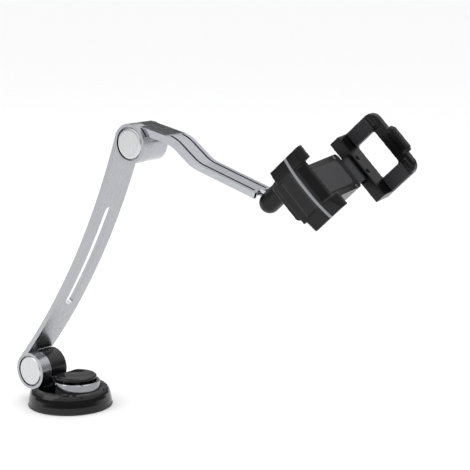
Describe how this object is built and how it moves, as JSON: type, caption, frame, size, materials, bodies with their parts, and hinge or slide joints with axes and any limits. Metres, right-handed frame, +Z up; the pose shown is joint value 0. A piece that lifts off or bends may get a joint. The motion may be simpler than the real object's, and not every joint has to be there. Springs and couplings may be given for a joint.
{
  "type": "car phone mount",
  "caption": "Suction-base phone mount: lever-locked round base, slotted curved lower arm, S-bent channel upper arm, ball joint and a sliding two-claw phone clamp.",
  "frame": {"origin": "centre of the suction face on the surface the mount is stuck to", "axes": "+Z up out of the surface, +X the way the arms reach, +Y along both arm hinges; the jaws open roughly along +Y"},
  "size_m": [0.2615, 0.0938, 0.1884],
  "materials": {
    "soft_rubber": "matt black rubber",
    "gloss_black": "high-gloss black moulding",
    "satin_black": "satin black moulding",
    "black_metal": "satin black die casting",
    "chrome_ring": "polished",
    "steel": "machined steel",
    "satin_aluminium": "bead-blasted and brushed",
    "polished_aluminium": "polished",
    "nylon": "natural nylon"
  },
  "bodies": {
    "base": {"suction_cup": "soft_rubber", "base_housing": "gloss_black", "collar_ring": "chrome_ring", "foot_bracket": "black_metal", "foot_screws": "steel", "lower_bolt": "steel", "lower_nut": "steel"},
    "stem": {"pull_stem": "steel", "lever_pin": "steel"},
    "lever": {"cam_lever": "gloss_black"},
    "lower_arm": {"lower_arm": "satin_aluminium", "lower_cap": "satin_aluminium", "upper_cap": "satin_aluminium", "lower_washer": "nylon", "upper_washer": "nylon"},
    "upper_arm": {"upper_arm": "polished_aluminium", "upper_bolt": "steel", "upper_nut": "steel", "hub_cover": "satin_aluminium", "ball_stud": "steel"},
    "ball_seat": {"ball_seat": "satin_black"},
    "socket": {"socket_cup": "satin_black", "swivel_screw": "steel"},
    "clamp": {"holder_body": "satin_black", "holder_cover": "satin_black", "cover_screws": "steel", "front_pad": "soft_rubber", "detent_spring": "steel", "fixed_claw": "satin_black", "fixed_claw_pads": "soft_rubber", "claw_screws": "steel"},
    "jaw": {"claw_tongue": "satin_black", "sliding_claw": "satin_black", "sliding_claw_pads": "soft_rubber", "tongue_screws": "steel"}
  },
  "joints": [
    {"name": "lever_turn", "type": "hinge", "parent": "stem", "child": "lever", "pos_m": [0, 0, 0.015], "axis": [0, -1, 0], "range_deg": [0, 60]},
    {"name": "stem_pull", "type": "slide", "parent": "base", "child": "stem", "axis": [0, 0, -1], "range_m": [0, 0.0009]},
    {"name": "lower_hinge", "type": "hinge", "parent": "base", "child": "lower_arm", "pos_m": [-0.0203, 0, 0.0197], "axis": [0, 1, 0], "range_deg": [-100, 20]},
    {"name": "upper_hinge", "type": "hinge", "parent": "lower_arm", "child": "upper_arm", "pos_m": [0.06521, 0, 0.16663], "axis": [0, 1, 0], "range_deg": [-100, 60]},
    {"name": "ball_roll", "type": "hinge", "parent": "upper_arm", "child": "ball_seat", "pos_m": [0.15995, -0.003, 0.14442], "axis": [0.9623, 0, -0.272], "range_deg": [-90, 90]},
    {"name": "ball_tilt", "type": "hinge", "parent": "ball_seat", "child": "socket", "pos_m": [0.15995, -0.003, 0.14442], "axis": [0, 1, 0], "range_deg": [-30, 25]},
    {"name": "clamp_spin", "type": "hinge", "parent": "socket", "child": "clamp", "pos_m": [0.15995, -0.003, 0.14442], "axis": [0.7326, 0.0577, 0.6782], "continuous": true},
    {"name": "jaw_slide", "type": "slide", "parent": "clamp", "child": "jaw", "axis": [-0.1441, 0.987, 0.0717], "range_m": [-0.013, 0.011]}
  ],
  "couplings": [
    {"joint": "lever_turn", "follows": "stem_pull", "rad_per_m": 1163.5}
  ]
}
